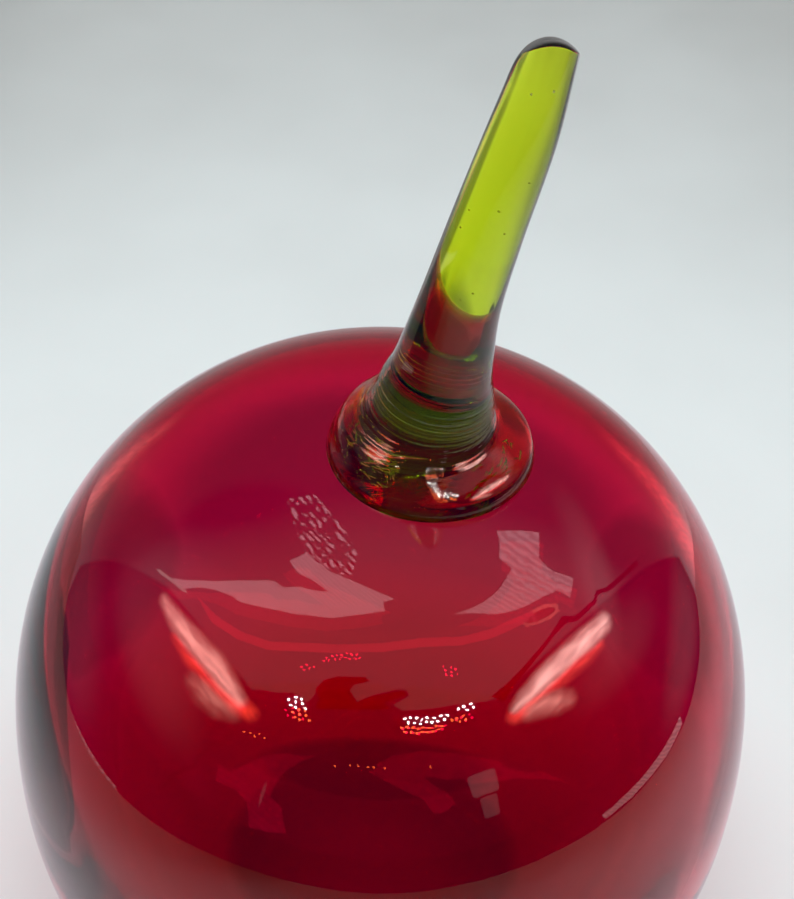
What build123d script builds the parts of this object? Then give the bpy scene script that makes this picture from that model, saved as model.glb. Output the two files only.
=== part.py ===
from build123d import *
import os
from math import cos, pi, sin, tan

# A hollow blown glass apple with an applied solid glass stem.
# Millimetres, +Z up, origin at the centre of the ring that it rests on.

os.makedirs("parts", exist_ok=True)

# Driving dimensions of the blown body
body_radius = 65.0
equator_height = 65.0
shoulder_rise = 70.25
base_ring_radius = 30.0
base_ring_width = 4.5
base_recess_depth = 2.2

# Driving dimensions of the hollow inside it, which lies a little off centre
side_wall = 2.8
crown_wall = 4.25
floor_wall = 11.5
hollow_shift_x = 0.3
hollow_shift_y = 0.9
neck_hole_radius = 8.0

# Driving dimensions of the applied stem, with its leans in degrees
stem_offset = 6.0
stem_length = 71.0
stem_lean = 12.5
foot_radius = 16.3
foot_height = 8.3
neck_radius = 9.0
shaft_radius = 5.54
tip_rounding = 1.4
tip_tilt = 4.0
plug_sag = 1.6

# Shapes of the outlines, as powers, shares of a height and shares of a radius
shoulder_power_share = 2.314
hollow_power_share = 2.36
hollow_floor_power_share = 2.0
foot_flare_shares = ((-0.12, 0.98), (0.12, 0.81), (0.36, 0.575), (0.6, 0.3), (0.84, 0.08), (1.0, 0.0))
neck_shares = ((0.173, 0.95), (0.221, 0.87), (0.304, 0.77))
shaft_shares = ((0.415, 1.095), (0.581, 1.0), (0.775, 0.912), (0.913, 0.758), (0.968, 0.68), (1.04, 0.6))
lean_start_share = 0.12
lean_curve_share = 0.22
outline_steps = 8
outline_end = 0.94 * pi / 2

crown_height = equator_height + shoulder_rise


def quarter_curve(radius, rise, power, side):
    """A superellipse's quarter from the equator to the axis, above it or below it."""
    places = []
    for step in range(outline_steps + 1):
        angle = outline_end * step / outline_steps
        r = radius * cos(angle) ** (2 / power)
        z = rise * sin(angle) ** (2 / power)
        places.append((r, 0, equator_height + side * z))
    places.append((0, 0, equator_height + side * rise))
    return Spline(places, tangents=[(0, 0, side), (-1, 0, 0)])


def body_outer():
    """The outer shape: an elliptic lower half cut flat, under a squarer shoulder."""
    cut_share = (1 - (base_ring_radius / body_radius) ** 2) ** 0.5
    lower_rise = equator_height / cut_share
    places = [(base_ring_radius, 0, 0)]
    for step in range(1, outline_steps + 1):
        z = equator_height * step / outline_steps
        r = body_radius * (1 - ((equator_height - z) / lower_rise) ** 2) ** 0.5
        places.append((r, 0, z))
    ring_slope = (body_radius / lower_rise) ** 2 * equator_height / base_ring_radius
    lower = Spline(places, tangents=[(ring_slope, 0, 1), (0, 0, 1)])
    upper = quarter_curve(body_radius, shoulder_rise, shoulder_power_share, 1)
    underside = Line((0, 0, 0), (base_ring_radius, 0, 0))
    axis = Line(upper @ 1, (0, 0, 0))
    return revolve(make_face(underside + lower + upper + axis), Axis.Z, 360)


def base_recess():
    """The shallow hollow that is ground into the underside, inside the ring."""
    rim_radius = base_ring_radius - base_ring_width
    sphere_radius = (rim_radius**2 + base_recess_depth**2) / (2 * base_recess_depth)
    return Pos(0, 0, base_recess_depth - sphere_radius) * Sphere(sphere_radius)


def body_hollow():
    """The blown hollow, moved off the axis so that the wall is thicker on one side."""
    radius = body_radius - side_wall
    upper = quarter_curve(radius, shoulder_rise - crown_wall, hollow_power_share, 1)
    lower = quarter_curve(radius, equator_height - floor_wall, hollow_floor_power_share, -1)
    axis = Line(upper @ 1, lower @ 1)
    shape = revolve(make_face(upper + lower + axis), Axis.Z, 360)
    return Pos(hollow_shift_x, hollow_shift_y, 0) * shape


def lean_at(height):
    """How far the stem's axis has moved aside at a height, and how far it has turned."""
    curve = lean_curve_share * stem_length
    above = max(0.0, height - lean_start_share * stem_length)
    bent = min(above, curve)
    aside = tan(stem_lean * pi / 180) * (bent**2 / (2 * curve) + above - bent)
    return aside, stem_lean * bent / curve


def stem_section(height, radius):
    """One round section of the stem at a height above the crown, square to its axis."""
    aside, turn = lean_at(height)
    place = Pos(stem_offset + aside, 0, crown_height + height)
    return place * Rot(0, turn, 0) * Circle(radius)


def stem_shaft():
    """The pulled stem: a drop-shaped foot, a waisted neck and a tapered leaning shaft."""
    sections = []
    for share, flare in foot_flare_shares:
        width = neck_radius + flare * (foot_radius - neck_radius)
        sections.append(stem_section(share * foot_height, width))
    for share, width in neck_shares:
        sections.append(stem_section(share * stem_length, width * neck_radius))
    for share, width in shaft_shares:
        sections.append(stem_section(share * stem_length, width * shaft_radius))
    aside, turn = lean_at(stem_length)
    end_place = Pos(stem_offset + aside, 0, crown_height + stem_length) * Rot(0, tip_tilt, 0)
    end_block = Box(foot_radius, foot_radius, foot_radius, align=(Align.CENTER, Align.CENTER, Align.MIN))
    shaft = loft(sections) - end_place * end_block
    return fillet(shaft.edges().sort_by(Axis.Z)[-1], tip_rounding)


def neck_plug():
    """The glass that fills the neck hole and sags a little into the hollow."""
    depth = crown_wall + plug_sag
    column = Pos(stem_offset, 0, crown_height - depth / 2) * Cylinder(neck_hole_radius, depth)
    return fillet(column.edges().sort_by(Axis.Z)[0], plug_sag)


outer = body_outer()
neck_hole = Pos(stem_offset, 0, crown_height) * Cylinder(neck_hole_radius, 4 * crown_wall)
body = outer - base_recess() - body_hollow() - neck_hole
stem = (stem_shaft() - outer) + (neck_plug() - (outer - neck_hole - body_hollow()))

export_step(body, "parts/glass_body.step")
export_step(stem, "parts/glass_stem.step")
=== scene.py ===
"""A hollow blown glass apple with an applied glass stem, in a small plain studio."""

import logging
import math
import random
from dataclasses import dataclass
from enum import Enum
from typing import Dict, List, Optional, Sequence, Tuple

import bmesh
import bpy
from mathutils import Matrix, Vector


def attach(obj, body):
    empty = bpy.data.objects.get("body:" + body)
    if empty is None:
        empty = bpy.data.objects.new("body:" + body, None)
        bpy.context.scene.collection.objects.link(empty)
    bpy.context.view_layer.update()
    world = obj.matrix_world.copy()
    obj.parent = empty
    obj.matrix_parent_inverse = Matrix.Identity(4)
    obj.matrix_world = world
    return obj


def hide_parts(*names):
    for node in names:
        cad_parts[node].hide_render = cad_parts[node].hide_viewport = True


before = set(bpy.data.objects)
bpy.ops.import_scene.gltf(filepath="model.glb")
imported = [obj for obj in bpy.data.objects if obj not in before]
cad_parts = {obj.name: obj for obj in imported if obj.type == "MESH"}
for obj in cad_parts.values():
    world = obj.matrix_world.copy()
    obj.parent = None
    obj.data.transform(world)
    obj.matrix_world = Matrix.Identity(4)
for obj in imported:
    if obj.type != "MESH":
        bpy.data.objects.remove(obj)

log = logging.getLogger("apple")
MM = 0.001
WELD = 1e-7
ROOM_MIDDLE = Vector((0, 0, 0.09))
LIGHT_PATHS = {
    "max_bounces": 24, "transmission_bounces": 20, "glossy_bounces": 10, "diffuse_bounces": 3,
    "transparent_max_bounces": 16, "sample_clamp_indirect": 12.0,
}

# A place on the plan of the room is the way that a mirrored ray takes: straight up is (0, 0), the
# horizon is the circle of radius 1, and the second number grows towards the camera.
Point = Tuple[float, float]
Colour = Tuple[float, float, float]
# The input's low and high end, and the results at them.
Ramp = Tuple[float, float, float, float]
Socket = bpy.types.NodeSocket


class Joint(Enum):
    """How two lights or shades are put together."""

    TOP = "MAXIMUM"
    BOTH = "ADD"


class Sight(Enum):
    """Which rays see a layer of the floor."""

    MIRRORED = "rays that the glass mirrors"
    OPEN = "rays that pass the apple"
    THROUGH = "rays that come through the glass"


class NodeBench:
    """Short calls that add nodes to one node tree and join them."""

    def __init__(self, tree: bpy.types.NodeTree) -> None:
        """Keeps the tree and empties it.

        Args:
            tree: the node tree of a material or of the world.
        """
        self.tree = tree
        tree.nodes.clear()

    def add(self, kind: str, inputs: Optional[Dict[object, object]] = None,
            **settings: object) -> bpy.types.Node:
        """Adds one node.

        Args:
            kind: the node's type name.
            inputs: what feeds it, by the input's name or number.
            settings: properties to set on it.

        Returns:
            The new node.
        """
        node = self.tree.nodes.new(kind)
        for name, value in settings.items():
            setattr(node, name, value)
        for name, value in (inputs or {}).items():
            self.feed(node.inputs[name], value)
        return node

    def feed(self, socket: Socket, value: object) -> None:
        """Sets a socket to a plain value, or joins another socket to it.

        Args:
            socket: the input.
            value: a number, a vector, a colour or an output socket.
        """
        if isinstance(value, Socket):
            self.tree.links.new(value, socket)
        elif socket.type == "RGBA":
            socket.default_value = (*value, 1)
        else:
            socket.default_value = value

    def maths(self, operation: str, *values: object) -> Socket:
        """Adds a Math node.

        Args:
            operation: the node's operation.
            values: its inputs.

        Returns:
            The result's socket.
        """
        return self.add("ShaderNodeMath", dict(enumerate(values)), operation=operation).outputs[0]

    def stack(self, how: Joint, start: object, layers: Sequence[object]) -> Socket:
        """Puts lights or shades together, one after the other.

        Args:
            how: how each one joins those before it.
            start: the first of them.
            layers: the others.

        Returns:
            The result's socket.
        """
        for layer in layers:
            start = self.maths(how.value, start, layer)
        return start

    def weigh(self, x: object, x_share: float, y: object, y_share: float) -> Socket:
        """Adds up shares of two numbers.

        Args:
            x: the first number.
            x_share: its share.
            y: the second number.
            y_share: its share.

        Returns:
            The sum's socket.
        """
        return self.maths("ADD", self.maths("MULTIPLY", x, x_share), self.maths("MULTIPLY", y, y_share))

    def vector(self, operation: str, first: object, second: object = None) -> Socket:
        """Adds a Vector Math node.

        Args:
            operation: the node's operation.
            first: its first vector.
            second: its second vector, or the scale of a SCALE node.

        Returns:
            The result's socket.
        """
        node = self.add("ShaderNodeVectorMath", {0: first}, operation=operation)
        if second is not None:
            self.feed(node.inputs["Scale" if operation == "SCALE" else 1], second)
        return node.outputs["Value" if operation in ("DOT_PRODUCT", "LENGTH") else 0]

    def ease(self, value: object, low: float, high: float, start: float, end: float) -> Socket:
        """Eases a value from one range to another with soft ends.

        Args:
            value: the input.
            low: the input at which the result is start.
            high: the input at which the result is end.
            start: the first result.
            end: the last result.

        Returns:
            The result's socket.
        """
        inputs = dict(enumerate((value, low, high, start, end)))
        return self.add("ShaderNodeMapRange", inputs, interpolation_type="SMOOTHSTEP").outputs[0]

    def blend(self, share: object, first: object, second: object, kind: str = "MIX") -> Socket:
        """Mixes two colours.

        Args:
            share: how much of the second one is used.
            first: the first colour.
            second: the second colour.
            kind: the way they are mixed.

        Returns:
            The mixed colour's socket.
        """
        inputs = {0: share, 6: first, 7: second}
        return self.add("ShaderNodeMix", inputs, data_type="RGBA", blend_type=kind).outputs[2]

    def noise(self, place: Socket, scale: float, detail: float) -> Socket:
        """Adds a cloudy noise.

        Args:
            place: where it is read.
            scale: how fine it is.
            detail: how many finer layers it has.

        Returns:
            The noise's socket, with 0.5 as its middle.
        """
        return self.add("ShaderNodeTexNoise", {"Vector": place, "Scale": scale, "Detail": detail}).outputs[0]

    def place(self) -> Socket:
        """The place in the object's own axes."""
        return self.add("ShaderNodeTexCoord").outputs["Object"]

    def split(self, vector: Socket) -> Sequence[Socket]:
        """The three numbers of a vector."""
        return self.add("ShaderNodeSeparateXYZ", {0: vector}).outputs

    def join(self, x: Socket, y: Socket) -> Socket:
        """A flat vector from two numbers."""
        return self.add("ShaderNodeCombineXYZ", {0: x, 1: y}).outputs[0]


def new_finish(name: str, glows: bool = False) -> Tuple[bpy.types.Material, NodeBench]:
    """Starts a material.

    Args:
        name: its name.
        glows: whether it gives light, which the renderer then finds by chance alone.

    Returns:
        The material and the bench for its nodes.
    """
    made = bpy.data.materials.new(name)
    made.use_nodes = True
    if glows:
        made.cycles.emission_sampling = "NONE"
    return made, NodeBench(made.node_tree)


def new_object(name: str, shape: bmesh.types.BMesh, finish: bpy.types.Material) -> bpy.types.Object:
    """Turns a shape into an object of the scene, with smooth faces.

    Args:
        name: the object's name.
        shape: the shape, which is freed.
        finish: its material.

    Returns:
        The new object.
    """
    mesh = bpy.data.meshes.new(name)
    for face in shape.faces:
        face.smooth = True
    shape.to_mesh(mesh)
    shape.free()
    mesh.materials.append(finish)
    made = bpy.data.objects.new(name, mesh)
    bpy.context.scene.collection.objects.link(made)
    return made


def cut_sheet(outline: Sequence[Point]) -> Tuple[bmesh.types.BMesh, List[bmesh.types.BMVert]]:
    """Starts a shape with one flat face.

    Args:
        outline: the face's corners.

    Returns:
        The shape and its rim.
    """
    shape = bmesh.new()
    rim = [shape.verts.new((x, y, 0)) for x, y in outline]
    sides = [shape.edges.new(pair) for pair in zip(rim, rim[1:] + rim[:1])]
    bmesh.ops.contextual_create(shape, geom=rim + sides)
    return shape, rim


def spin_outline(shape: bmesh.types.BMesh, outline: Sequence[Point], steps: int) -> None:
    """Spins an outline of radius and height round the axis and closes its poles.

    Args:
        shape: the shape to add to.
        outline: the radius and height of each point, in millimetres.
        steps: the number of steps in the full turn.
    """
    chain = [shape.verts.new((r * MM, 0, z * MM)) for r, z in outline]
    edges = [shape.edges.new(pair) for pair in zip(chain, chain[1:])]
    bmesh.ops.spin(shape, geom=chain + edges, cent=(0, 0, 0), axis=(0, 0, 1), angle=2 * math.pi,
                   steps=steps, use_merge=True, use_duplicate=False)
    bmesh.ops.remove_doubles(shape, verts=shape.verts, dist=WELD)


def add_seed(shape: bmesh.types.BMesh, place: Sequence[float], half: Sequence[float],
             turn: Sequence[float] = (0.0, 0.0, 0.0)) -> None:
    """Adds a small gas bubble inside the glass, with its skin facing inwards.

    Args:
        shape: the shape to add to.
        place: its middle, in millimetres.
        half: half of its size each way, in millimetres.
        turn: its turn about each axis, in degrees.
    """
    spin = Matrix.Identity(4)
    for angle, axis in zip(turn, "XYZ"):
        spin = Matrix.Rotation(math.radians(angle), 4, axis) @ spin
    matrix = Matrix.Translation(Vector(place) * MM) @ spin @ Matrix.Diagonal((*(h * MM for h in half), 1.0))
    made = bmesh.ops.create_icosphere(shape, subdivisions=2, radius=1.0, matrix=matrix)
    skin = {face for vert in made["verts"] for face in vert.link_faces}
    bmesh.ops.recalc_face_normals(shape, faces=list(skin))
    bmesh.ops.reverse_faces(shape, faces=list(skin))


def sky(x: float, y: float, far: float) -> Vector:
    """Turns a place on the plan of the room into a place in the room.

    Args:
        x: the plan's right.
        y: the plan's near side.
        far: the distance from the apple, in metres.

    Returns:
        The place.
    """
    reach = x * x + y * y
    return Vector((2 * x, -2 * y, 1 - reach)) * (far / (1 + reach)) + ROOM_MIDDLE


def ribbon(path: Sequence[Point], half: float) -> Sequence[Point]:
    """Outlines a thin band along a path on the plan, with pointed ends.

    Args:
        path: the path's points.
        half: half of the band's width.

    Returns:
        The outline's points.
    """
    one, other = [], []
    for before, (x, y), after in zip(path, path[1:], path[2:]):
        dx, dy = after[0] - before[0], after[1] - before[1]
        size = math.hypot(dx, dy)
        one.append((x - dy / size * half, y + dx / size * half))
        other.append((x + dy / size * half, y - dx / size * half))
    return [path[0], *one, path[-1], *reversed(other)]


@dataclass(frozen=True)
class Patch:
    """A soft oval of light or shade, on the plan of the room or on the floor.

    Attributes:
        centre: its middle.
        half: half of its size each way.
        turn: its turn, in degrees.
        level: the light or shade in its middle.
        edge: how wide its soft rim is, as a share of its size.
        power: 2 for an oval, and more for a squarer shape.
    """

    centre: Point
    half: Point
    turn: float
    level: float
    edge: float = 0.5
    power: float = 2.0

    def build(self, bench: NodeBench, x: Socket, y: Socket) -> Socket:
        """Makes the oval's nodes.

        Args:
            bench: the bench to use.
            x: the place's first number.
            y: the place's second number.

        Returns:
            The light or shade that the oval gives.
        """
        c, s = math.cos(math.radians(self.turn)), math.sin(math.radians(self.turn))
        wide, deep = self.half
        dx = bench.maths("SUBTRACT", x, self.centre[0])
        dy = bench.maths("SUBTRACT", y, self.centre[1])
        ways = bench.weigh(dx, c / wide, dy, s / wide), bench.weigh(dx, -s / deep, dy, c / deep)
        u, v = (bench.maths("POWER", bench.maths("ABSOLUTE", way), self.power) for way in ways)
        reach = bench.maths("POWER", bench.maths("ADD", u, v), 1 / self.power)
        return bench.ease(reach, 1 + self.edge / 2, 1 - self.edge / 2, 0, self.level)


@dataclass(frozen=True)
class Stroke:
    """A soft run of coloured light on the plan of the room, drawn through round spots.

    Attributes:
        light: its colour and strength.
        soft: how far its rim fades each way.
        spots: the place and radius of each spot.
    """

    light: Colour
    soft: float
    spots: Sequence[Tuple[float, float, float]]

    def build(self, bench: NodeBench, place: Socket) -> Socket:
        """Makes the run's nodes.

        Args:
            bench: the world's bench.
            place: the place on the plan.

        Returns:
            The light that the run adds.
        """
        best = -1.0
        for (ax, ay, ar), (bx, by, br) in zip(self.spots, self.spots[1:]):
            size = (bx - ax) ** 2 + (by - ay) ** 2
            offset = bench.vector("SUBTRACT", place, (ax, ay, 0.0))
            along = bench.vector("DOT_PRODUCT", offset, ((bx - ax) / size, (by - ay) / size, 0.0))
            share = bench.maths("MINIMUM", bench.maths("MAXIMUM", along, 0.0), 1.0)
            near = bench.vector("SUBTRACT", offset, bench.vector("SCALE", (bx - ax, by - ay, 0.0), share))
            reach = bench.maths("MULTIPLY_ADD", share, br - ar, ar)
            inside = bench.maths("SUBTRACT", reach, bench.vector("LENGTH", near))
            best = bench.maths("MAXIMUM", best, inside)
        return bench.vector("SCALE", self.light, bench.ease(best, -self.soft, self.soft, 0, 1))


@dataclass(frozen=True)
class Panel:
    """A sheet of light, or a dark one, outlined on the plan of the room.

    Attributes:
        name: its name.
        outline: its corners on the plan.
        glow: its light in the glass's mirror.
        through: its light through the glass, or none if it isn't seen there.
        rim: how wide its faded rim is.
        ragged: how far the noise eats into it.
        grain: how fine that noise is.
        streaks: how strong its brushed streaks are.
        bias: how much more of it the noise takes away, where it is below 0.
        brush: how fine the streaks are.
        far: its distance, in metres.
    """

    name: str
    outline: Sequence[Point]
    glow: Colour
    through: Optional[Colour] = None
    rim: float = 0.008
    ragged: float = 0.0
    grain: float = 3.0
    streaks: float = 0.0
    bias: float = 0.0
    brush: float = 4.0
    far: float = 6.0
    grain_detail: float = 4.0
    brush_bend: float = 5.0
    brush_detail: float = 3.0

    def finish(self) -> bpy.types.Material:
        """Makes the panel's light, which fades at its rim.

        Returns:
            The material.
        """
        made, bench = new_finish(self.name, glows=True)
        place = bench.place()
        noise = bench.noise(place, self.grain, self.grain_detail)
        rough = bench.maths("MULTIPLY", bench.maths("SUBTRACT", noise, 0.5), self.ragged)
        depth = bench.add("ShaderNodeAttribute", attribute_name="depth").outputs["Fac"]
        mask = bench.ease(bench.maths("ADD", depth, rough), -self.bias, 1 - self.bias, 0, 1)
        waves = bench.add("ShaderNodeTexWave", {
            "Vector": place, "Scale": self.brush, "Distortion": self.brush_bend, "Detail": self.brush_detail,
        }, wave_type="BANDS", bands_direction="DIAGONAL")
        level = bench.ease(waves.outputs["Fac"], 0, 1, 1 - self.streaks, 1 + self.streaks)
        ray = bench.add("ShaderNodeLightPath").outputs["Is Transmission Ray"]
        tint = bench.blend(ray, self.glow, self.through or self.glow)
        light = bench.add("ShaderNodeEmission", {"Color": tint, "Strength": level})
        clear = bench.add("ShaderNodeBsdfTransparent")
        mix = bench.add("ShaderNodeMixShader", {0: mask, 1: clear.outputs[0], 2: light.outputs[0]})
        bench.add("ShaderNodeOutputMaterial", {"Surface": mix.outputs[0]})
        return made

    def build(self) -> bpy.types.Object:
        """Cuts the panel out and hangs it in the room.

        Returns:
            The panel.
        """
        shape, rim = cut_sheet(self.outline)
        depth = shape.verts.layers.float.new("depth")
        bmesh.ops.inset_region(shape, faces=shape.faces, thickness=self.rim, use_even_offset=True)
        outer = set(rim)
        for vert in shape.verts:
            vert[depth] = 0.0 if vert in outer else 1.0
        bmesh.ops.triangulate(shape, faces=shape.faces)
        for vert in shape.verts:
            vert.co = sky(vert.co.x, vert.co.y, self.far)
        panel = new_object(self.name, shape, self.finish())
        panel.visible_camera = panel.visible_diffuse = panel.visible_shadow = False
        panel.visible_transmission = self.through is not None
        return panel


@dataclass(frozen=True)
class PaperFinish:
    """Matt paper, painted with a soft shadow where the apple stands and a duller shade further off."""

    name: str
    tone: Colour
    shades: Sequence[Patch]
    pools: Sequence[Patch] = ()
    # Painted shade: further from the apple the paper turns darker and duller, towards these tones.
    far_tone: Colour = (0.352, 0.424, 0.424)
    far_ring: Point = (0.08, 0.50)
    distant_tone: Colour = (0.255, 0.410, 0.405)
    distant_ring: Point = (0.6, 2.2)
    # Painted shade: close round the apple the paper is dimmed and tinted red, like the red glass's shadow.
    red_shade: Colour = (0.86, 0.735, 0.765)
    red_shade_ring: Point = (0.025, 0.115)
    cloud_size: float = 9.0
    cloud_detail: float = 3.0
    clouds: Ramp = (0.3, 0.7, -0.06, 0.06)
    # Painted light and shade: ramps that darken the paper to the left and front and lighten it to the right.
    left_shade: Ramp = (-0.24, -0.11, -0.42, 0)
    right_light: Ramp = (0.11, 0.22, 0, 0.12)
    front_shade: Ramp = (-0.20, -0.45, 0, -0.25)

    def build(self) -> bpy.types.Material:
        """Makes the paper.

        Returns:
            The material.
        """
        made, bench = new_finish(self.name)
        place = bench.place()
        away = bench.vector("LENGTH", place)
        far = bench.ease(away, *self.far_ring, 0, 1)
        cloud = bench.ease(bench.noise(place, self.cloud_size, self.cloud_detail), *self.clouds)
        # Painted shade: the paper turns darker and duller further from the apple.
        tone = bench.blend(bench.maths("ADD", far, cloud), self.tone, self.far_tone)
        tone = bench.blend(bench.ease(away, *self.distant_ring, 0, 1), tone, self.distant_tone)
        # Painted shade: dimmed and tinted red close round the apple.
        tone = bench.blend(bench.ease(away, *self.red_shade_ring, 1, 0), tone, self.red_shade, "MULTIPLY")
        x, y, _ = bench.split(place)
        # Painted light and shade: darker to the left and towards the front, lighter to the right.
        sides = bench.maths("ADD", bench.ease(x, *self.left_shade), bench.ease(x, *self.right_light))
        sides = bench.maths("ADD", sides, bench.ease(y, *self.front_shade))
        shadow = bench.stack(Joint.TOP, 0.0, [shade.build(bench, x, y) for shade in self.shades])
        own = bench.maths("SUBTRACT", 1.0, shadow)
        own = bench.stack(Joint.BOTH, own, [pool.build(bench, x, y) for pool in self.pools])
        level = bench.maths("MULTIPLY", bench.maths("ADD", sides, 1.0), own)
        matt = bench.add("ShaderNodeBsdfDiffuse", {"Color": bench.vector("SCALE", tone, level)})
        bench.add("ShaderNodeOutputMaterial", {"Surface": matt.outputs[0]})
        return made


@dataclass(frozen=True)
class PaperFloor:
    """The pale sheet that the glass mirrors, and the floors that are seen past it and through it."""

    tone: Colour = (0.708, 0.898, 0.920)
    mirrored_tone: Colour = (0.680, 0.810, 0.880)
    half_size: float = 30.0
    open_drop: float = 0.0004
    through_drop: float = 0.0002
    sheet_outline: Sequence[Point] = (
        (-0.545, 0.33), (-0.464, 0.202), (-0.397, 0.093), (-0.34, -0.003), (-0.322, -0.073), (-0.312, -0.21),
        (-0.29, -0.33), (-0.235, -0.43), (-0.14, -0.495), (-0.04, -0.515), (0.06, -0.52), (0.19, -0.51),
        (0.3, -0.46), (0.385, -0.368), (0.425, -0.25), (0.44, -0.078), (0.45, 0.03), (0.487, 0.181),
        (0.541, 0.3), (0.4, 0.29), (0.27, 0.25), (0.13, 0.23), (0.0, 0.225), (-0.13, 0.23), (-0.27, 0.25),
        (-0.4, 0.29),
    )
    # Painted shadow round the apple's foot, seen only in the glass's mirror.
    mirrored_shades: Sequence[Patch] = (
        Patch((0.0, 0.035), (0.078, 0.075), 0, 0.46, 0.35),
        Patch((0.0, -0.035), (0.060, 0.042), 0, 0.82, 0.6),
    )
    # Painted soft shadow round the apple's foot, on the floor that the camera sees.
    open_shades: Sequence[Patch] = (
        Patch((0.0, 0.012), (0.062, 0.058), 0, 0.38, 1.2),
    )
    # Painted shadow of the apple, seen only through the glass: deep shade round and behind the foot, and dark
    # patches to the left and right that darken the glass's rims.
    through_shades: Sequence[Patch] = (
        Patch((-0.010, 0.050), (0.091, 0.085), 0, 0.46, 0.20),
        Patch((0.0, 0.118), (0.066, 0.056), 0, 0.52, 0.5),
        Patch((-0.076, 0.086), (0.030, 0.040), 0, 0.60, 0.5),
        Patch((0.072, 0.090), (0.026, 0.038), 0, 0.56, 0.5),
        Patch((0.0, -0.012), (0.056, 0.022), 0, 0.28, 0.6),
        Patch((0.0, 0.008), (0.036, 0.030), 0, 0.67, 0.35),
        Patch((0.0, 0.033), (0.030, 0.010), 0, 0.76, 0.6),
        Patch((-0.127, 0.045), (0.034, 0.095), 13, 0.92, 0.2),
        Patch((0.140, 0.060), (0.034, 0.080), -13, 0.60, 0.5),
    )
    # Painted pool of light behind the foot, seen only through the glass, where the glass would focus light.
    through_pools: Sequence[Patch] = (
        Patch((0.0, 0.062), (0.050, 0.030), 0, 0.18, 0.8),
    )

    @staticmethod
    def lay(name: str, shape: bmesh.types.BMesh, paper: PaperFinish, sight: Sight) -> None:
        """Lays one layer of paper.

        Args:
            name: the layer's name.
            shape: its shape, which is freed.
            paper: its finish.
            sight: the rays that see it.
        """
        layer = new_object(name, shape, paper.build())
        layer.visible_glossy = sight is Sight.MIRRORED
        layer.visible_transmission = sight is Sight.THROUGH
        layer.visible_camera = layer.visible_diffuse = layer.visible_shadow = sight is Sight.OPEN

    def wide_sheet(self, drop: float) -> bmesh.types.BMesh:
        """Cuts a wide square sheet.

        Args:
            drop: how far it lies below the apple's foot, in metres.

        Returns:
            The sheet.
        """
        shape = bmesh.new()
        bmesh.ops.create_grid(shape, x_segments=1, y_segments=1, size=self.half_size)
        bmesh.ops.translate(shape, vec=(0, 0, -drop), verts=shape.verts)
        return shape

    def build(self) -> None:
        """Lays the three layers."""
        sheet, _ = cut_sheet(self.sheet_outline)
        bmesh.ops.triangulate(sheet, faces=sheet.faces)
        bmesh.ops.recalc_face_normals(sheet, faces=sheet.faces)
        paper = PaperFinish("mirrored_paper", self.mirrored_tone, self.mirrored_shades)
        self.lay("near_sheet", sheet, paper, Sight.MIRRORED)
        paper = PaperFinish("wide_floor", self.tone, self.open_shades)
        self.lay("wide_floor", self.wide_sheet(self.open_drop), paper, Sight.OPEN)
        paper = PaperFinish("floor_behind_glass", self.tone, self.through_shades, self.through_pools)
        self.lay("floor_behind_glass", self.wide_sheet(self.through_drop), paper, Sight.THROUGH)


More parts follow.
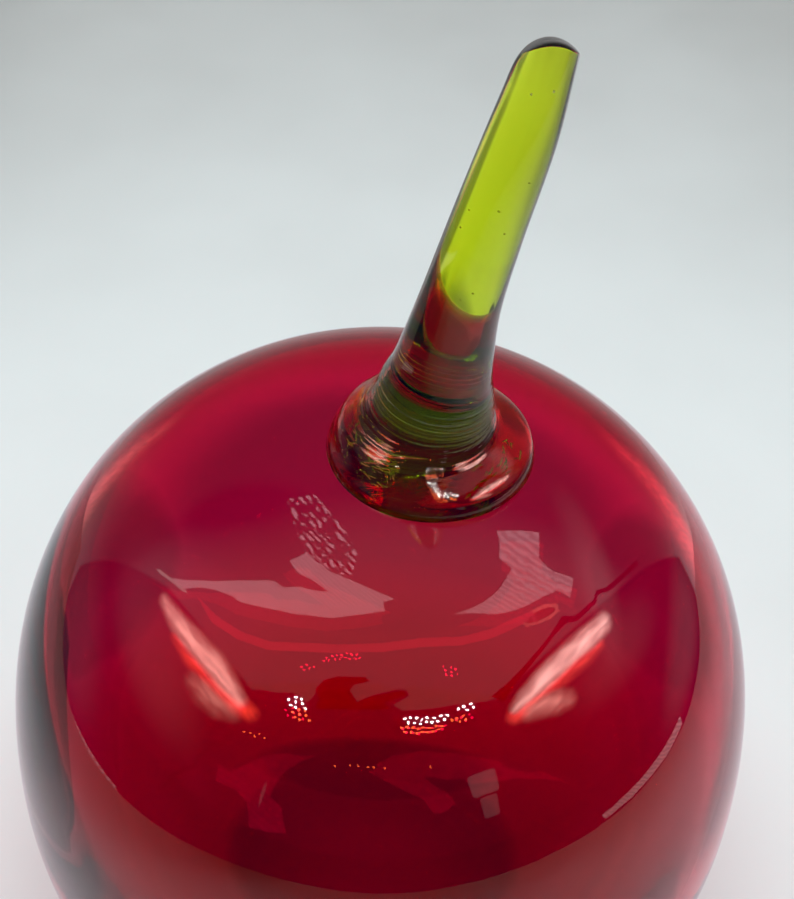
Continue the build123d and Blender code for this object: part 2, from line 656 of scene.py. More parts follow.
@dataclass(frozen=True)
class RoomLight:
    """The room's light: a dark room in front, a grey ceiling above and soft patches of light."""

    lowest: float = -0.9
    ceiling_left: Sequence[Point] = ((-0.36, 0.30), (-0.57, -0.09), (-0.92, -0.48))
    ceiling_right: Sequence[Point] = ((0.93, -0.72), (0.315, 0.30))
    ceiling_front: Ramp = (0.29, 0.305, 1, 0)
    ceiling_level: Ramp = (-0.34, -0.10, 0, 0.42)
    edge_blur: float = 0.008
    far_slope: float = 0.03
    far_part: Ramp = (-0.60, -0.63, 0, 1)
    side_walls: Ramp = (0.50, 1.10, 0, 0.35)
    right_wall: Ramp = (0.70, 1.00, 0, 0.50)
    wall_reach: Ramp = (-0.3, -0.85, 0, 1)
    back_wall: Ramp = (-0.85, -1.6, 0.07, 0.42)
    darkest: float = 0.004
    patches: Sequence[Patch] = (
        Patch((-0.300, -0.180), (0.170, 0.110), 12, -0.20, 1.4),
        Patch((-0.700, 0.070), (0.140, 0.300), 0, 0.22, 1.4),
        Patch((-1.130, -0.300), (0.200, 0.320), 20, 0.12, 1.2),
        Patch((0.690, 0.000), (0.090, 0.200), 20, 0.22, 1.6),
        Patch((1.040, -0.330), (0.120, 0.300), -20, 0.22, 1.2),
        Patch((0.520, -0.170), (0.060, 0.200), -38, 0.40, 1.4),
        Patch((0.376, 0.600), (0.052, 0.050), -33, 0.60, 0.1, 8.0),
        Patch((0.440, 0.690), (0.034, 0.052), -33, 0.45, 0.1, 8.0),
        Patch((-0.430, 0.690), (0.060, 0.007), -58, 0.35, 0.6),
    )
    # Painted reflections: wings of light that the glass mirrors; the red strokes among them paint red light
    # into that mirror.
    wings: Sequence[Stroke] = (
        Stroke((15.0, 6.5, 5.5), 0.03, (
            (-0.6, -0.06, 0.002), (-0.56, 0.04, 0.02), (-0.52, 0.115, 0.028), (-0.476, 0.19, 0.032),
            (-0.446, 0.258, 0.03), (-0.416, 0.328, 0.014))),
        Stroke((17.5, 1.0, 0.5), 0.032, (
            (-0.585, 0.07, 0.004), (-0.552, 0.147, 0.016), (-0.512, 0.215, 0.02), (-0.473, 0.281, 0.022),
            (-0.434, 0.333, 0.03), (-0.392, 0.37, 0.018))),
        Stroke((7.2, 2.9, 2.3), 0.05, (
            (-0.556, 0.238, 0.012), (-0.529, 0.275, 0.03), (-0.495, 0.318, 0.03), (-0.45, 0.345, 0.02))),
        Stroke((18.0, 10.0, 8.8), 0.028, (
            (0.594, -0.055, 0.018), (0.552, 0.02, 0.028), (0.508, 0.088, 0.026), (0.474, 0.15, 0.026),
            (0.442, 0.212, 0.024), (0.412, 0.268, 0.016), (0.392, 0.312, 0.006))),
        Stroke((17.5, 1.3, 0.9), 0.03, (
            (0.604, 0.015, 0.006), (0.565, 0.075, 0.018), (0.53, 0.128, 0.018), (0.492, 0.19, 0.018),
            (0.455, 0.25, 0.02), (0.42, 0.306, 0.022), (0.396, 0.336, 0.014))),
        Stroke((11.0, 4.6, 3.8), 0.042, (
            (0.56, 0.232, 0.01), (0.52, 0.25, 0.024), (0.478, 0.266, 0.028), (0.435, 0.3, 0.02))),
        Stroke((1.35, 0.26, 0.24), 0.1, (
            (-0.6, -0.89, 0.02), (-0.76, -0.95, 0.08), (-0.898, -0.987, 0.11), (-1.03, -0.962, 0.12),
            (-1.162, -0.932, 0.12), (-1.295, -0.763, 0.1), (-1.39, -0.567, 0.05))),
        Stroke((2.1, 0.12, 0.16), 0.1, (
            (0.6, -0.88, 0.04), (0.7, -0.89, 0.08), (0.78, -0.905, 0.11), (0.907, -0.885, 0.13),
            (1.061, -0.886, 0.12), (1.236, -0.876, 0.07), (1.38, -0.89, 0.01))),
    )
    streak_way: Point = (0.89, 0.46)
    streak_stretch: float = 3.5
    streak_size: float = 13.0
    streak_detail: float = 4.0
    streak_light: Ramp = (0.32, 0.68, 0.62, 1.32)
    haze: Ramp = (0.25, 0.75, 0.50, 0.0)
    backdrop: Ramp = (-0.1, 0.6, 0.50, 0.60)
    air: Colour = (0.985, 1.0, 1.0)
    dusk: Colour = (0.01, 0.0, 0.10)
    dusk_reach: Ramp = (-0.9, -0.5, 0, 1)

    def side_of(self, bench: NodeBench, x: Socket, y: Socket, start: Point, end: Point) -> Socket:
        """Masks the plan on one side of a line.

        Args:
            bench: the world's bench.
            x: the plan's right.
            y: the plan's near side.
            start: a point on the line.
            end: the next point on it.

        Returns:
            1 on the right of the way from start to end, and 0 on its left.
        """
        dx, dy = end[0] - start[0], end[1] - start[1]
        size = math.hypot(dx, dy)
        nx, ny = -dy / size, dx / size
        edge = nx * start[0] + ny * start[1]
        return bench.ease(bench.weigh(x, nx, y, ny), edge - self.edge_blur, edge + self.edge_blur, 0, 1)

    def ceiling(self, bench: NodeBench, x: Socket, y: Socket) -> Socket:
        """Makes the light of the ceiling, which has straight edges, and of the walls behind it.

        Args:
            bench: the world's bench.
            x: the plan's right.
            y: the plan's near side.

        Returns:
            The light.
        """
        near, bend, end = self.ceiling_left
        lower, upper = self.side_of(bench, x, y, near, bend), self.side_of(bench, x, y, bend, end)
        over = bench.maths("MAXIMUM", lower, upper)
        over = bench.maths("MULTIPLY", over, self.side_of(bench, x, y, *self.ceiling_right))
        over = bench.maths("MULTIPLY", over, bench.ease(y, *self.ceiling_front))
        far = bench.ease(bench.weigh(x, self.far_slope, y, 1.0), *self.far_part)
        over = bench.maths("MAXIMUM", over, far)
        aside = bench.ease(bench.maths("ABSOLUTE", x), *self.side_walls)
        walls = bench.maths("ADD", aside, bench.ease(x, *self.right_wall))
        walls = bench.maths("MULTIPLY", walls, bench.ease(y, *self.wall_reach))
        walls = bench.maths("ADD", walls, bench.ease(y, *self.back_wall))
        light = bench.maths("MAXIMUM", walls, bench.ease(y, *self.ceiling_level))
        return bench.maths("MULTIPLY", over, light)

    def streaks(self, bench: NodeBench, x: Socket, y: Socket) -> Socket:
        """Makes fine streaks that run along the two wings of light.

        Args:
            bench: the world's bench.
            x: the plan's right.
            y: the plan's near side.

        Returns:
            The share of the light that is left in each streak.
        """
        side = bench.maths("ABSOLUTE", x)
        c, s = self.streak_way
        across = bench.maths("MULTIPLY", bench.weigh(side, c, y, s), self.streak_stretch)
        grid = bench.join(across, bench.weigh(side, -s, y, c))
        return bench.ease(bench.noise(grid, self.streak_size, self.streak_detail), *self.streak_light)

    def build(self) -> None:
        """Lights the room."""
        world = bpy.data.worlds.new("studio")
        bpy.context.scene.world = world
        world.use_nodes = True
        bench = NodeBench(world.node_tree)
        dx, dy, dz = bench.split(bench.add("ShaderNodeTexCoord").outputs["Generated"])
        lift = bench.maths("ADD", bench.maths("MAXIMUM", dz, self.lowest), 1.0)
        x = bench.maths("DIVIDE", dx, lift)
        y = bench.maths("DIVIDE", bench.maths("MULTIPLY", dy, -1), lift)
        patches = [patch.build(bench, x, y) for patch in self.patches]
        light = bench.stack(Joint.BOTH, self.ceiling(bench, x, y), patches)
        light = bench.maths("MAXIMUM", light, self.darkest)
        place = bench.join(x, y)
        wings = (0.0, 0.0, 0.0)
        for stroke in self.wings:
            wings = bench.vector(Joint.TOP.value, wings, stroke.build(bench, place))
        wings = bench.vector("SCALE", wings, self.streaks(bench, x, y))
        ray = bench.add("ShaderNodeLightPath").outputs
        camera, through = ray["Is Camera Ray"], ray["Is Transmission Ray"]
        haze = bench.maths("MULTIPLY", bench.ease(dz, *self.haze), through)
        light = bench.maths("MAXIMUM", light, haze)
        backdrop = bench.ease(dz, *self.backdrop)
        level = bench.add("ShaderNodeMix", {0: camera, 2: light, 3: backdrop}, data_type="FLOAT").outputs[0]
        # Light that is drawn straight from the room counts as mirrored here, whatever it falls on, so the
        # wings also warm the floors, and the papers' tones allow for that.
        direct = bench.maths("ADD", camera, ray["Is Diffuse Ray"])
        indirect = bench.maths("SUBTRACT", 1.0, direct)
        mirrored = bench.maths("SUBTRACT", indirect, through)
        dusk = bench.maths("MULTIPLY", bench.ease(y, *self.dusk_reach), indirect)
        tone = bench.vector(Joint.BOTH.value, bench.vector("SCALE", self.air, level),
                            bench.vector("SCALE", self.dusk, dusk))
        tone = bench.vector(Joint.BOTH.value, bench.vector("SCALE", wings, mirrored), tone)
        glow = bench.add("ShaderNodeBackground", {"Color": tone})
        bench.add("ShaderNodeOutputWorld", {"Surface": glow.outputs[0]})


@dataclass(frozen=True)
class Studio:
    """The floor, the room's light and the lamps and sheets of light that the glass mirrors."""

    panels: Sequence[Panel] = (
        Panel("band_left", (
            (-0.6, -0.16), (-0.555, -0.115), (-0.5, -0.085), (-0.4, -0.05), (-0.3, -0.032), (-0.245, -0.026),
            (-0.225, -0.004), (-0.18, -0.004), (-0.15, 0.008), (-0.12, 0.01), (-0.15, -0.02),
            (-0.185, -0.045), (-0.2, -0.08), (-0.165, -0.1), (-0.145, -0.095), (-0.118, -0.05),
            (-0.08, -0.03), (-0.03, 0.0), (0.018, 0.026), (-0.004, 0.038), (0.0, 0.062), (-0.05, 0.076),
            (-0.12, 0.089), (-0.2, 0.076), (-0.28, 0.05), (-0.34, 0.026), (-0.36, 0.005), (-0.4, -0.02),
            (-0.45, -0.045), (-0.51, -0.06)),
            (3.0, 2.3, 2.5), (3.0, 2.0, 2.0), rim=0.01, ragged=1.6, grain=5.0, streaks=0.25),
        Panel("band_right", (
            (0.208, -0.2), (0.26, -0.215), (0.31, -0.225), (0.325, -0.15), (0.37, -0.125), (0.44, -0.13),
            (0.445, -0.07), (0.4, -0.075), (0.36, -0.04), (0.32, 0.0), (0.29, 0.022), (0.25, 0.04),
            (0.2, 0.045), (0.155, 0.054), (0.19, 0.032), (0.222, 0.0), (0.242, -0.03), (0.252, -0.06),
            (0.262, -0.1), (0.226, -0.122), (0.22, -0.16)),
            (2.8, 2.1, 2.3), (3.0, 2.0, 2.0), rim=0.012, ragged=1.2, grain=4.0, streaks=0.25),
        # Painted highlight: a ragged, streaked sheet of light that the glass mirrors, in place of the sheen
        # of a fingerprint smudge on the glass.
        Panel("fingerprint_sheen", (
            (-0.19, -0.26), (-0.13, -0.27), (-0.08, -0.18), (-0.055, -0.1), (-0.07, -0.04), (-0.12, -0.04),
            (-0.16, -0.09), (-0.18, -0.18)),
            (2.0, 1.6, 1.8), rim=0.045, ragged=8.0, grain=4.4, bias=-0.62, streaks=1.0, brush=2.6),
        Panel("lip_right", (
            (0.06, 0.285), (0.31, 0.285), (0.3, 0.305), (0.26, 0.318), (0.2, 0.334), (0.15, 0.35),
            (0.1, 0.362), (0.062, 0.368), (0.035, 0.35), (0.075, 0.318)),
            (0.4, 0.4, 0.41), (0.4, 0.4, 0.4), rim=0.004, ragged=1.0, grain=6.0),
        Panel("lip_middle", (
            (-0.086, 0.285), (0.0, 0.285), (0.04, 0.3), (-0.02, 0.322), (-0.062, 0.345), (-0.082, 0.312)),
            (0.38, 0.38, 0.39), (0.4, 0.4, 0.4), rim=0.004, ragged=1.0, grain=6.0),
        Panel("lip_left", (
            (-0.385, 0.28), (-0.165, 0.285), (-0.176, 0.325), (-0.2, 0.35), (-0.235, 0.318), (-0.3, 0.312)),
            (0.38, 0.38, 0.39), (0.4, 0.4, 0.4), rim=0.004, ragged=1.0, grain=6.0),
        Panel("seam_right", (
            (0.66, -0.34), (0.56, -0.16), (0.524, -0.13), (0.526, -0.1), (0.478, -0.022), (0.436, -0.005),
            (0.418, 0.06), (0.376, 0.16), (0.336, 0.24), (0.3, 0.29), (0.345, 0.3), (0.36, 0.24),
            (0.392, 0.16), (0.43, 0.06), (0.456, 0.01), (0.49, -0.01), (0.538, -0.095), (0.536, -0.124),
            (0.575, -0.155), (0.674, -0.335)),
            (0.0, 0.0, 0.0), (0.0, 0.0, 0.0), rim=0.004, ragged=0.6, grain=6.0, far=5.9),
        Panel("notch", (
            (-0.172, 0.305), (-0.15, 0.28), (-0.11, 0.265), (-0.04, 0.266), (-0.03, 0.278), (-0.07, 0.29),
            (-0.082, 0.31), (-0.064, 0.345), (-0.02, 0.325), (0.06, 0.302), (0.068, 0.316), (0.01, 0.345),
            (0.03, 0.365), (-0.18, 0.37), (-0.165, 0.34)),
            (0.0, 0.0, 0.0), (0.0, 0.0, 0.0), rim=0.005, ragged=0.8, grain=5.0, far=5.9),
        # Painted reflection: a red line that the glass mirrors.
        Panel("smile", ribbon((
            (-0.47, -0.02), (-0.43, 0.062), (-0.362, 0.125), (-0.282, 0.166), (-0.201, 0.174),
            (-0.103, 0.18), (0.0, 0.172), (0.085, 0.15), (0.18, 0.133), (0.25, 0.1), (0.306, 0.054),
            (0.345, 0.02), (0.375, 0.045)), 0.013),
            (3.8, 0.44, 0.62), rim=0.009, far=5.8),
        Panel("sliver", ribbon((
            (-0.603, -0.17), (-0.593, -0.157), (-0.552, -0.105), (-0.517, -0.061), (-0.5, -0.04)), 0.005),
            (2.6, 2.4, 2.3), rim=0.002, far=5.8),
        # Painted reflection: a red ring that the glass mirrors.
        Panel("ring_rim", (
            (0.322, 0.046), (0.34, 0.008), (0.372, -0.022), (0.41, -0.036), (0.424, -0.018), (0.404, 0.014),
            (0.372, 0.04), (0.34, 0.058)),
            (4.4, 1.1, 1.0), rim=0.006, far=5.85),
        Panel("ring_core", (
            (0.334, 0.044), (0.348, 0.014), (0.374, -0.01), (0.404, -0.024), (0.412, -0.016), (0.396, 0.008),
            (0.368, 0.032), (0.344, 0.048)),
            (2.0, 0.25, 0.3), rim=0.005, far=5.8),
        Panel("hem_right", (
            (1.225, -0.1), (1.225, 0.06), (1.195, 0.24), (1.13, 0.42), (1.06, 0.56), (1.105, 0.56),
            (1.18, 0.43), (1.25, 0.24), (1.285, 0.06), (1.275, -0.1)),
            (1.5, 1.25, 1.35), (0.5, 0.4, 0.4), rim=0.012, ragged=1.5, grain=3.0, streaks=0.4),
        Panel("hem_left", (
            (-1.425, -0.36), (-1.44, -0.15), (-1.425, 0.05), (-1.39, 0.25), (-1.33, 0.43), (-1.31, 0.42),
            (-1.365, 0.24), (-1.395, 0.05), (-1.4, -0.15), (-1.385, -0.36)),
            (0.9, 0.8, 0.85), (0.4, 0.3, 0.3), rim=0.008, ragged=1.5, grain=3.0, streaks=0.4),
    )
    lamps: Sequence[Point] = (
        (-0.232, 0.333), (-0.254, 0.339), (-0.215, 0.339), (-0.234, 0.348), (-0.214, 0.354), (-0.25, 0.357),
        (-0.237, 0.366), (-0.208, 0.371), (0.247, 0.324), (0.258, 0.334), (0.215, 0.344), (0.242, 0.345),
        (0.228, 0.335), (0.171, 0.374), (0.188, 0.37), (0.085, 0.39), (0.133, 0.384), (0.152, 0.382),
        (0.182, 0.384), (0.118, 0.392), (0.164, 0.393), (0.132, 0.4), (0.081, 0.407), (0.099, 0.406),
        (0.103, 0.389), (0.148, 0.399), (0.07, 0.394), (0.116, 0.408),
    )
    lamp_radius: float = 0.0042
    lamp_far: float = 4.0
    lamp_sides: int = 12
    lamp_level: float = 90.0
    lamp_tone: Colour = (1.0, 0.98, 0.96)
    # Painted reflections: warm glints beside the lamps, and faint red glints.
    ember_shift: Point = (-0.003, 0.027)
    ember_spread: Point = (-0.038, 0.06)
    ember_level: Colour = (36.0, 5.2, 1.0)
    sparks: Sequence[Point] = (
        (-0.424, 0.438), (-0.403, 0.444), (-0.392, 0.456), (-0.372, 0.45), (-0.358, 0.466), (-0.137, 0.576),
        (-0.087, 0.571), (-0.062, 0.573), (-0.029, 0.576), (-0.01, 0.576), (0.026, 0.577), (0.171, 0.56),
    )
    spark_level: Colour = (16.0, 2.4, 0.5)
    fill_size: float = 2.4
    fill_power: float = 40.0
    fill_place: Tuple[float, float, float] = (0, 0.3, 2.2)

    def hang_lamps(self, name: str, places: Sequence[Point], level: float,
                   colour: Colour) -> bpy.types.Object:
        """Hangs small round lamps in the room, each turned towards the apple.

        Args:
            name: the lamps' name.
            places: their places on the plan of the room.
            level: their brightness.
            colour: their colour.

        Returns:
            The lamps.
        """
        made, bench = new_finish(name, glows=True)
        glow = bench.add("ShaderNodeEmission", {"Color": colour, "Strength": level})
        bench.add("ShaderNodeOutputMaterial", {"Surface": glow.outputs[0]})
        shape = bmesh.new()
        for x, y in places:
            place = sky(x, y, self.lamp_far)
            turn = (place - ROOM_MIDDLE).to_track_quat("-Z", "Y").to_matrix().to_4x4()
            radius = self.lamp_radius * self.lamp_far * 2 / (1 + x * x + y * y)
            bmesh.ops.create_circle(shape, cap_ends=True, radius=radius, segments=self.lamp_sides,
                                    matrix=Matrix.Translation(place) @ turn)
        lamps = new_object(name, shape, made)
        lamps.visible_camera = lamps.visible_diffuse = lamps.visible_shadow = False
        return lamps

    def build_lamps(self) -> None:
        """Hangs the rows of small white lamps, and the painted warm and red glints that the glass mirrors."""
        self.hang_lamps("small_lamps", self.lamps, self.lamp_level, self.lamp_tone)
        # Painted reflections: orange copies of the white lamps, shifted a little, in place of the copies that
        # the hollow's skin throws back through the red glass.
        (right, near), (x_spread, y_spread) = self.ember_shift, self.ember_spread
        warm = [(x + right + x_spread * x, y + near + y_spread * abs(x)) for x, y in self.lamps]
        embers = self.hang_lamps("warm_glints", warm, 1.0, self.ember_level)
        # Painted reflections: faint red glints that the glass mirrors.
        sparks = self.hang_lamps("faint_glints", self.sparks, 1.0, self.spark_level)
        embers.visible_transmission = sparks.visible_transmission = False

    def build_fill(self) -> None:
        """Hangs a wide soft lamp that lights the sheet alone; the apple's soft shadow is painted on the
        paper.
        """
        lamp = bpy.data.lights.new("sheet_fill", "AREA")
        lamp.shape = "DISK"
        lamp.size = self.fill_size
        lamp.energy = self.fill_power
        made = bpy.data.objects.new("sheet_fill", lamp)
        made.location = self.fill_place
        made.visible_camera = made.visible_glossy = made.visible_transmission = False
        bpy.context.scene.collection.objects.link(made)

    def build(self) -> None:
        """Builds the whole studio."""
        PaperFloor().build()
        self.build_lamps()
        RoomLight().build()
        self.build_fill()
        for panel in self.panels:
            panel.build()


@dataclass(frozen=True)
class Viewpoint:
    """The camera, where the photograph was taken from, with its angles in degrees."""

    place: Tuple[float, float, float] = (0.0, -0.19559, 0.32456)
    down: float = 44.35
    aside: float = 0.184
    roll: float = 3.0
    lens: float = 69.95
    film: float = 36.0
    clip: Point = (0.01, 100.0)

    def build(self) -> bpy.types.Object:
        """Makes the camera.

        Returns:
            The camera object.
        """
        made = bpy.data.cameras.new("viewpoint")
        made.sensor_width = self.film
        made.sensor_fit = "AUTO"
        made.lens = self.lens
        made.clip_start, made.clip_end = self.clip
        camera = bpy.data.objects.new("viewpoint", made)
        yaw, pitch, roll = (math.radians(v) for v in (self.aside, self.down, self.roll))
        ahead = Vector((math.sin(yaw) * math.cos(pitch), math.cos(yaw) * math.cos(pitch), -math.sin(pitch)))
        flat_right = ahead.cross(Vector((0, 0, 1))).normalized()
        flat_up = flat_right.cross(ahead)
        right = flat_right * math.cos(roll) + flat_up * math.sin(roll)
        up = flat_up * math.cos(roll) - flat_right * math.sin(roll)
        turn = Matrix((right, up, -ahead)).transposed()
        camera.matrix_world = Matrix.Translation(self.place) @ turn.to_4x4()
        bpy.context.scene.collection.objects.link(camera)
        bpy.context.scene.camera = camera
        return camera


@dataclass(frozen=True)
class GlassFinish:
    """Clear coloured glass, which takes its colour from its depth.

    Attributes:
        name: its name.
        absorbed: how much of each colour a metre of it takes away.
        ripple: how strong the ripple of its surface is.
        ripple_size: how fine the ripple is.
        draw: how fine the ripple is upwards, as a share of that.
    """

    name: str
    absorbed: Colour
    ripple: float
    ripple_size: float
    draw: float = 1.0
    ripple_detail: float = 1.0
    ripple_depth: float = 0.0005
    bend: float = 1.5
    headroom: float = 1.05
    smear: float = 0.012
    smear_size: float = 45.0
    smear_detail: float = 5.0
    smear_range: Point = (0.52, 0.72)

    def build(self) -> bpy.types.Material:
        """Makes the glass.

        Returns:
            The material.
        """
        made, bench = new_finish(self.name)
        place = bench.place()
        drawn = bench.vector("MULTIPLY", place, (1.0, 1.0, self.draw))
        waves = bench.noise(drawn, self.ripple_size, self.ripple_detail)
        inputs = {"Strength": self.ripple, "Distance": self.ripple_depth, "Height": waves}
        bump = bench.add("ShaderNodeBump", inputs)
        touch = bench.noise(place, self.smear_size, self.smear_detail)
        glass = bench.add("ShaderNodeBsdfPrincipled", {
            "Base Color": (1, 1, 1), "Transmission Weight": 1.0, "IOR": self.bend, "Normal": bump.outputs[0],
            "Roughness": bench.ease(touch, *self.smear_range, 0, self.smear)})
        density = max(self.absorbed) * self.headroom
        left = tuple(1 - a / density for a in self.absorbed)
        depth = bench.add("ShaderNodeVolumeAbsorption", {"Color": left, "Density": density})
        bench.add("ShaderNodeOutputMaterial", {"Surface": glass.outputs[0], "Volume": depth.outputs[0]})
        return made


@dataclass(frozen=True)
class BlownBody:
    """The hollow blown body, from the same sizes as the CAD body, in millimetres."""

    radius: float = 65.0
    equator: float = 65.0
    shoulder: float = 70.25
    ring_radius: float = 30.0
    ring_width: float = 4.5
    ring_bevels: Point = (0.5, 0.6)
    recess: float = 2.2
    side_wall: float = 2.8
    crown_wall: float = 4.25
    floor_wall: float = 11.5
    shift: Tuple[float, float, float] = (-0.2, 0.92, -0.77)
    lean: float = 1.6
    lean_heights: Sequence[float] = (50.0, 78.0, 81.0, 112.0)
    power: float = 2.314
    hollow_power: float = 2.36
    floor_power: float = 2.0
    steps: int = 256
    recess_steps: int = 8
    side_steps: int = 56
    floor_steps: int = 72
    dome_steps: int = 84

    def crown(self) -> float:
        """The height of the outer surface on the axis."""
        return self.equator + self.shoulder

    def outer_height(self, r: float) -> float:
        """The height of the upper outer surface at a radius, in millimetres."""
        share = min(1.0, r / self.radius)
        return self.equator + self.shoulder * (1 - share ** self.power) ** (1 / self.power)

    def outer_outline(self) -> Sequence[Point]:
        """Lists the outer outline from the middle of the underside to the crown.

        Returns:
            The radius and height of each point.
        """
        rim = self.ring_radius - self.ring_width
        ball = (rim ** 2 + self.recess ** 2) / (2 * self.recess)
        points = [(0.0, self.recess)]
        for step in range(1, self.recess_steps + 1):
            r = rim * step / self.recess_steps
            points.append((r, self.recess - ball + math.sqrt(ball ** 2 - r ** 2)))
        points += [(rim + self.ring_bevels[0], 0.0), (self.ring_radius - self.ring_bevels[1], 0.0)]
        rise = self.equator / math.sqrt(1 - (self.ring_radius / self.radius) ** 2)
        low = math.asin(self.ring_radius / self.radius)
        for step in range(1, self.side_steps + 1):
            a = low + (math.pi / 2 - low) * (step / self.side_steps)
            points.append((self.radius * math.sin(a), self.equator - rise * math.cos(a)))
        return points + self.dome(self.radius, self.shoulder, self.power, 1, self.dome_steps)

    def dome(self, radius: float, rise: float, power: float, side: int, count: int) -> List[Point]:
        """Lists a superellipse's quarter from just off the equator to the axis.

        Args:
            radius: its radius.
            rise: its height.
            power: how square its shoulder is.
            side: 1 above the equator and -1 below it.
            count: the number of points.

        Returns:
            The radius and height of each point.
        """
        points = []
        for step in range(1, count):
            a = math.pi / 2 * step / count
            out, up = math.cos(a) ** (2 / power), math.sin(a) ** (2 / power)
            points.append((radius * out, self.equator + side * rise * up))
        return points + [(0.0, self.equator + side * rise)]

    def hollow_outline(self) -> Sequence[Point]:
        """Lists the hollow's outline from its floor to its crown.

        Returns:
            The radius and height of each point.
        """
        radius = self.radius - self.side_wall
        lower = self.dome(radius, self.equator - self.floor_wall, self.floor_power, -1, self.floor_steps)
        upper = self.dome(radius, self.shoulder - self.crown_wall, self.hollow_power, 1, self.dome_steps)
        return lower[::-1] + [(radius, self.equator)] + upper

    def build(self, finish: bpy.types.Material) -> bpy.types.Object:
        """Builds the body as one closed piece: the outer skin and the skin of the hollow.

        Args:
            finish: the glass.

        Returns:
            The body.
        """
        outer = bmesh.new()
        spin_outline(outer, self.outer_outline(), self.steps)
        bmesh.ops.recalc_face_normals(outer, faces=outer.faces)
        skin = bpy.data.meshes.new("skin")
        outer.to_mesh(skin)
        outer.free()
        hollow = bmesh.new()
        spin_outline(hollow, self.hollow_outline(), self.steps)
        bmesh.ops.recalc_face_normals(hollow, faces=hollow.faces)
        bmesh.ops.reverse_faces(hollow, faces=hollow.faces)
        low, full, still, high = (h * MM for h in self.lean_heights)
        for vert in hollow.verts:
            share = max(0.0, min(1.0, (vert.co.z - low) / (full - low), (high - vert.co.z) / (high - still)))
            left = max(0.0, -vert.co.x / (self.radius * MM))
            vert.co.x += self.lean * MM * left * share * share * (3 - 2 * share)
        bmesh.ops.translate(hollow, vec=Vector(self.shift) * MM, verts=hollow.verts)
        hollow.from_mesh(skin)
        bpy.data.meshes.remove(skin)
        body = new_object("blown_body", hollow, finish)
        # The glass casts no shadow; the shade round the apple is painted on the paper.
        body.visible_shadow = False
        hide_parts("glass_body")
        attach(body, "root")
        return body


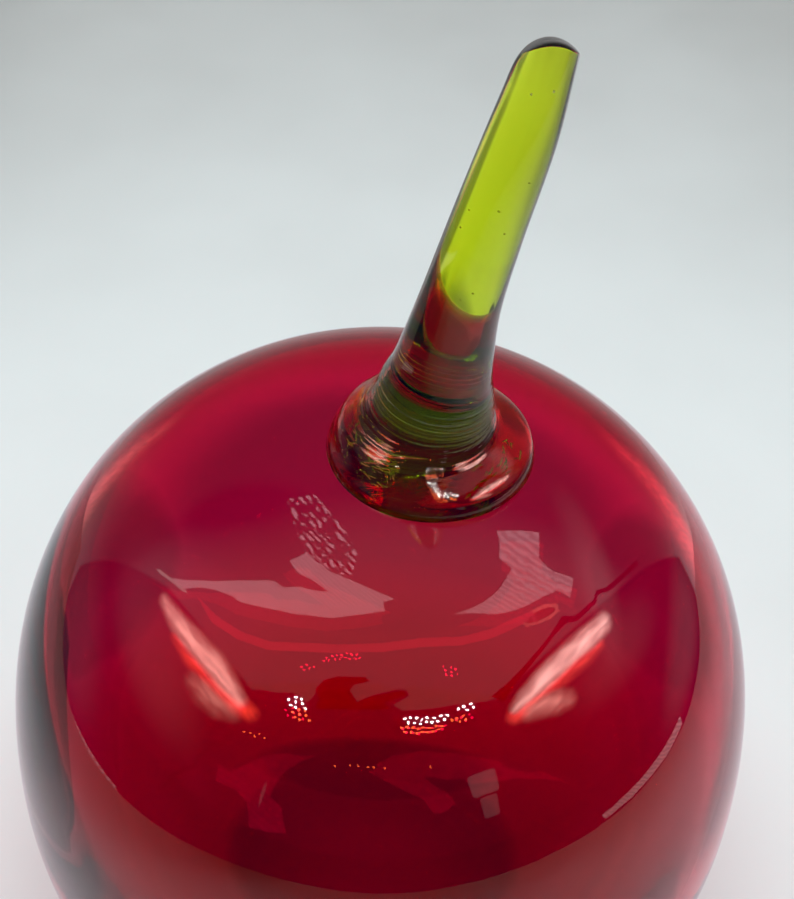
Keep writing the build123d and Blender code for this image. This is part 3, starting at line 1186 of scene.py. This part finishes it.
@dataclass(frozen=True)
class PulledStem:
    """The solid stem: a drop-shaped foot on the crown, a waisted neck and a leaning shaft.

    Heights are in millimetres above the crown, and angles are in degrees.

    Attributes:
        radii: the radius at each height.
        axis: how far the axis lies to the right at each height.
        gas_lines: the place, half length and turn of each long bubble.
    """

    body: BlownBody
    overlap: float = 0.08
    seat_mark: float = -50.0
    seat_steps: int = 24
    radii: Sequence[Point] = (
        (-0.9, 16.3), (0.3, 16.05), (1.2, 15.6), (3.0, 14.0), (5.0, 12.1), (7.0, 10.4), (9.0, 9.45),
        (12.0, 8.79), (16.0, 7.69), (22.0, 6.76), (30.0, 5.94), (42.0, 5.41), (56.0, 4.92), (63.0, 4.4),
        (70.2, 3.75),
    )
    axis: Sequence[Point] = (
        (-8.0, 5.9), (0.0, 5.85), (8.0, 5.78), (16.0, 6.76), (28.0, 8.55), (42.0, 11.49), (60.0, 15.83),
        (72.0, 18.2),
    )
    steps: int = 160
    side_steps: int = 359
    crowding: float = 1.6
    belly: float = 1.7
    belly_height: float = 5.0
    belly_spread: float = 2.6
    recline: float = 2.6
    recline_start: float = 34.0
    recline_length: float = 36.0
    rings: float = 0.030
    ring_height: float = 9.5
    ring_spread: float = 4.0
    ring_waves: Point = (11.0, 5.2)
    broad_share: float = 1.2
    tip_start: float = 64.0
    tip_height: float = 70.6
    tip_tilt: Point = (-13.0, -26.0)
    tip_round: float = 0.13
    tip_powers: Point = (0.55, 0.9)
    tip_steps: int = 16
    luck: int = 11
    seeds: int = 10
    seed_heights: Point = (24.0, 66.0)
    seed_reach: float = 0.6
    seed_sizes: Point = (0.07, 0.16)
    seed_draw: float = 1.5
    wrinkles: int = 74
    wrinkle_arcs: Sequence[Point] = ((180, 240), (295, 360))
    wrinkle_reach: Point = (9.0, 13.4)
    wrinkle_depth: Point = (0.7, 2.2)
    wrinkle_lengths: Point = (0.35, 1.0)
    wrinkle_half: Point = (0.13, 0.10)
    wrinkle_turns: Tuple[float, float, float] = (20, 30, 50)
    gas_lines: Sequence[Tuple[float, float, float, float, float]] = (
        (1.2, -8.3, 4.7, 4.4, -6.0), (-2.2, -8.6, 3.6, 2.2, 10.0),
    )
    gas_half: Point = (0.30, 0.22)

    @staticmethod
    def curve(points: Sequence[Point], at: float) -> float:
        """Runs a smooth curve through points and reads it.

        Args:
            points: places and values, in order of place.
            at: the place to read.

        Returns:
            The value there.
        """
        i = max(0, min(len(points) - 2, sum(p[0] <= at for p in points) - 1))
        (x0, y0), (x1, y1) = points[i], points[i + 1]
        before = points[i - 1] if i else points[i]
        after = points[i + 2] if i + 2 < len(points) else points[i + 1]
        m0 = (y1 - before[1]) / (x1 - before[0])
        m1 = (after[1] - y0) / (after[0] - x0)
        t, w = (at - x0) / (x1 - x0), x1 - x0
        return ((2 * t ** 3 - 3 * t * t + 1) * y0 + (t ** 3 - 2 * t * t + t) * w * m0
                + (3 * t * t - 2 * t ** 3) * y1 + (t ** 3 - t * t) * w * m1)

    def outline(self) -> List[Point]:
        """Lists the straight stem's outline from the foot's rim to the middle of the tip.

        Returns:
            The radius and height of each point.
        """
        low, high = self.radii[0][0], self.radii[-1][0]
        fine, broad = self.ring_waves
        points = []
        for step in range(self.side_steps + 1):
            share = step / self.side_steps
            z = low + (high - low) * share ** self.crowding
            wave = math.sin(z * fine) + self.broad_share * math.sin(z * broad)
            ring = self.rings * wave * math.exp(-((z - self.ring_height) / self.ring_spread) ** 2)
            points.append((self.curve(self.radii, z) + ring, z))
        r, rise = points[-1][0], self.tip_height - high
        out, up = self.tip_powers
        for step in range(1, self.tip_steps):
            a = math.pi / 2 * step / self.tip_steps
            points.append((r * math.cos(a) ** out, high + rise * math.sin(a) ** up))
        return points + [(0.0, self.tip_height)]

    def bend(self, x: float, y: float, z: float) -> Tuple[float, float, float]:
        """Moves a point of the straight stem to its place on the leaning one.

        Args:
            x: its place to the right of the axis.
            y: its place behind the axis.
            z: its height above the crown, or the mark of a point that lies on the crown.

        Returns:
            The place on the apple.
        """
        if z < self.seat_mark / 2:
            x += self.curve(self.axis, 0.0)
            return x, y, self.body.outer_height(math.hypot(x, y)) - self.overlap
        lean = math.atan(self.curve(self.axis, z + 0.5) - self.curve(self.axis, z - 0.5))
        cap = max(0.0, (z - self.tip_start) / (self.tip_height - self.tip_start)) ** 2
        tilt = lean + math.radians(self.tip_tilt[0]) * cap
        fall = math.radians(self.tip_tilt[1]) * cap
        belly = self.belly * math.exp(-((z - self.belly_height) / self.belly_spread) ** 2)
        aside = self.curve(self.axis, z) - belly
        back = self.recline * max(0.0, (z - self.recline_start) / self.recline_length) ** 2
        z += self.body.crown() - x * math.sin(tilt) + y * math.sin(fall) - self.tip_round * cap * x * x
        return aside + x * math.cos(tilt), y + back, z

    def trap_gas(self, shape: bmesh.types.BMesh) -> None:
        """Adds the small bubbles in the shaft and the fine wrinkles of gas in the foot.

        Args:
            shape: the stem.
        """
        dice = random.Random(self.luck)
        crown, middle = self.body.crown(), self.curve(self.axis, 0.0)
        for _ in range(self.seeds):
            z = dice.uniform(*self.seed_heights)
            reach = self.curve(self.radii, z) * dice.uniform(0.0, self.seed_reach)
            a = dice.uniform(0.0, 2 * math.pi)
            size = dice.uniform(*self.seed_sizes)
            place = (self.curve(self.axis, z) + reach * math.cos(a), reach * math.sin(a), crown + z)
            add_seed(shape, place, (size, size, size * self.seed_draw))
        for _ in range(self.wrinkles):
            a = math.radians(dice.choice([dice.uniform(*arc) for arc in self.wrinkle_arcs]))
            reach = dice.uniform(*self.wrinkle_reach)
            x, y = middle + reach * math.cos(a), reach * math.sin(a)
            z = self.body.outer_height(math.hypot(x, y)) + dice.uniform(*self.wrinkle_depth)
            length = dice.uniform(*self.wrinkle_lengths)
            roll, tip, turn = (dice.uniform(-most, most) for most in self.wrinkle_turns)
            add_seed(shape, (x, y, z), (length, *self.wrinkle_half), (roll, tip, math.degrees(a) + 90 + turn))
        for x, y, z, length, turn in self.gas_lines:
            add_seed(shape, (x, y, crown + z), (length, *self.gas_half), (0.0, turn, turn))

    def build(self, finish: bpy.types.Material) -> bpy.types.Object:
        """Builds the stem.

        Args:
            finish: the glass.

        Returns:
            The stem.
        """
        shape = bmesh.new()
        outline = self.outline()
        seat = [(outline[0][0] * step / self.seat_steps, self.seat_mark) for step in range(self.seat_steps)]
        spin_outline(shape, seat + outline, self.steps)
        for vert in shape.verts:
            x, y, z = self.bend(*(c / MM for c in vert.co))
            vert.co = (x * MM, y * MM, z * MM)
        bmesh.ops.recalc_face_normals(shape, faces=shape.faces)
        self.trap_gas(shape)
        stem = new_object("pulled_stem", shape, finish)
        # The stem casts no shadow either; the shade round the apple is painted on the paper.
        stem.visible_shadow = False
        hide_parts("glass_stem")
        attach(stem, "root")
        return stem


def main() -> None:
    """Builds the apple and the studio, and reports each piece."""
    logging.basicConfig(level=logging.INFO, format="%(name)s: %(message)s")
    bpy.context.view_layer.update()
    scene = bpy.context.scene
    scene.view_settings.view_transform = "Standard"
    for setting, value in LIGHT_PATHS.items():
        setattr(scene.cycles, setting, value)
    ruby = GlassFinish("ruby_glass", (43.0, 800.0, 375.0), ripple=0.03, ripple_size=70.0).build()
    green = GlassFinish("green_glass", (45.0, 28.0, 420.0), ripple=0.05, ripple_size=160.0, draw=0.06).build()
    body = BlownBody()
    pieces = [body.build(ruby), PulledStem(body).build(green)]
    for piece in pieces:
        log.info("%s: %d faces", piece.name, len(piece.data.polygons))
    Viewpoint().build()
    Studio().build()


if __name__ == "__main__":
    main()
